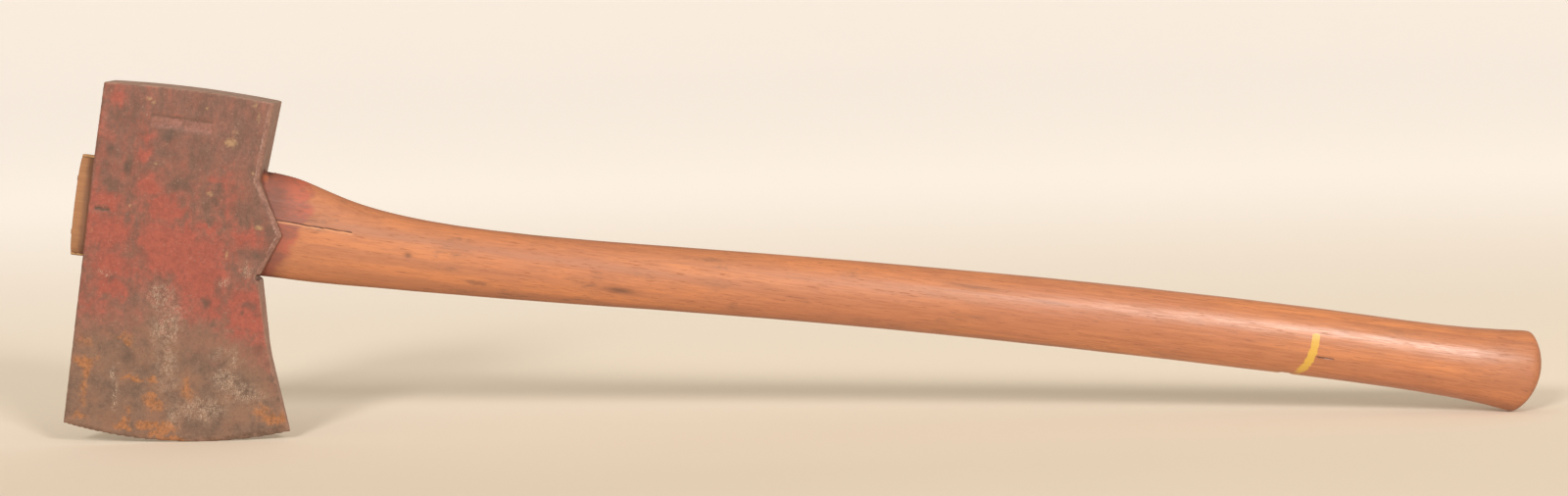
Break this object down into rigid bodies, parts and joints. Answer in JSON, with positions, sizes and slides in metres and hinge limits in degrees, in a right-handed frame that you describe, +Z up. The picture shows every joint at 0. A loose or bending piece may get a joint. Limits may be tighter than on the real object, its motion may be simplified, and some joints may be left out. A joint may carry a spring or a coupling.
{
  "type": "splitting maul",
  "caption": "Splitting maul: a broad red-painted steel wedge head with a hammer poll, hung on a long curved hardwood handle held by wedges in its eye.",
  "frame": {"origin": "the middle of the handle where the rear hand grips it, near the knob", "axes": "+X runs level from the head towards the knob, +Z is up with the maul standing on its bit and on the knob, Y is the head's thickness"},
  "size_m": [0.9199, 0.038, 0.2256],
  "materials": {
    "painted_steel": "worn red paint over rusted steel, satin",
    "handle_wood": "oiled and hand-polished hardwood, satin",
    "wedge_wood": "raw darkened hardwood end grain",
    "wedge_steel": "rusted mild steel"
  },
  "bodies": {
    "root": {"head": "painted_steel", "handle": "handle_wood", "wooden_wedge": "wedge_wood", "steel_wedge_upper": "wedge_steel", "steel_wedge_lower": "wedge_steel"}
  },
  "joints": []
}
